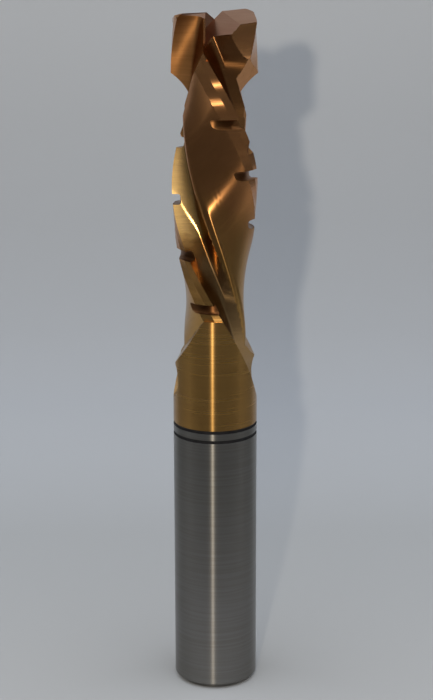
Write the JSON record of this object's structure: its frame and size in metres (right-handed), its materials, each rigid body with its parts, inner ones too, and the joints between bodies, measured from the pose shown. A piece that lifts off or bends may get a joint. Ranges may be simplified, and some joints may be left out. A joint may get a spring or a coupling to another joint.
{
  "type": "compression router bit",
  "caption": "Solid carbide compression router bit: straight shank, left-hand helical teeth with chipbreaker slots, crossed at the tip by right-hand teeth.",
  "frame": {"origin": "centre of the flat end of the shank, on the axis the bit turns about", "axes": "+Z along the axis from the shank to the tip, -Y towards the side the picture shows, +X to the right of that side"},
  "size_m": [0.0126, 0.0126, 0.1038],
  "materials": {
    "carbide": "fine ground tungsten carbide, with a thin bronze to gold coating on the cutting end"
  },
  "bodies": {
    "root": {"router_bit": "carbide"}
  },
  "joints": []
}
